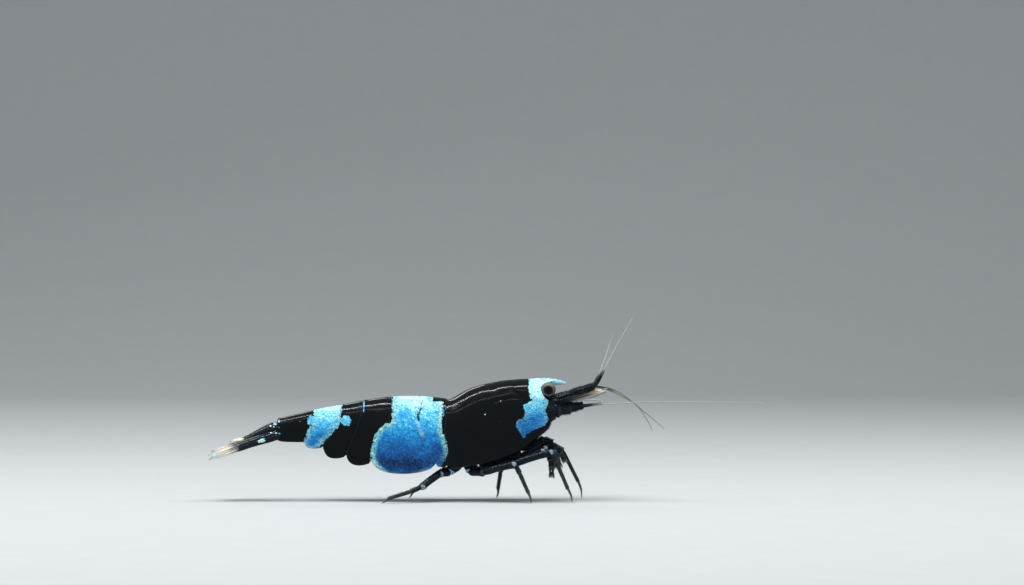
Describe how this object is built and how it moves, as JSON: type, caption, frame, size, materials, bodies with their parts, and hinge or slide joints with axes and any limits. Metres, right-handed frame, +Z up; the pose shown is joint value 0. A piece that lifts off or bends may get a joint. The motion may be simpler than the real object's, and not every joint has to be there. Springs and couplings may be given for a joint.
{
  "type": "bee shrimp model",
  "caption": "Life-size still model of a blue and black dwarf bee shrimp, standing on its walking legs with its tail fan folded and its feelers spread.",
  "frame": {"origin": "on the floor, below the middle of the whole length, feelers included", "axes": "+X towards the head and feelers, +Y the animal's left, +Z up"},
  "size_m": [0.0424, 0.0115, 0.0142],
  "materials": {
    "black_shell": "glossy, near black with a blue-brown cast",
    "blue_shell": "glossy, granular sky blue, paler on the back",
    "flesh": "soft dark grey, slightly translucent",
    "limb": "satin blue-black with pale joints",
    "feeler": "thin, grey, ringed",
    "feeler_scale": "thin, translucent golden brown",
    "eye": "glossy, brown-grey with a dark centre",
    "tail_fan": "dark at its root, translucent cream and white at its end"
  },
  "bodies": {
    "root": {"abdomen_1": "blue_shell", "abdomen_2": "blue_shell", "abdomen_3": "black_shell", "abdomen_4": "black_shell", "abdomen_5": "blue_shell", "abdomen_6": "black_shell", "antenna_flagellum_left": "feeler", "antenna_flagellum_right": "feeler", "antenna_left": "limb", "antenna_right": "limb", "antenna_scale_left": "feeler_scale", "antenna_scale_right": "feeler_scale", "antennule_inner_left": "feeler", "antennule_inner_right": "feeler", "antennule_left": "limb", "antennule_outer_left": "feeler", "antennule_outer_right": "feeler", "antennule_right": "limb", "carapace": "black_shell", "eye_left": "eye", "eye_right": "eye", "eyestalk_left": "flesh", "eyestalk_right": "flesh", "leg_1_left": "limb", "leg_1_right": "limb", "leg_2_left": "limb", "leg_2_right": "limb", "leg_3_left": "limb", "leg_3_right": "limb", "leg_4_left": "limb", "leg_4_right": "limb", "leg_5_left": "limb", "leg_5_right": "limb", "maxilliped_left": "limb", "maxilliped_right": "limb", "swimmeret_1_left": "flesh", "swimmeret_1_right": "flesh", "swimmeret_2_left": "flesh", "swimmeret_2_right": "flesh", "swimmeret_3_left": "flesh", "swimmeret_3_right": "flesh", "swimmeret_4_left": "flesh", "swimmeret_4_right": "flesh", "swimmeret_5_left": "flesh", "swimmeret_5_right": "flesh", "telson": "black_shell", "thorax": "flesh", "uropod_inner_left": "tail_fan", "uropod_inner_right": "tail_fan", "uropod_outer_left": "tail_fan", "uropod_outer_right": "tail_fan"}
  },
  "joints": []
}
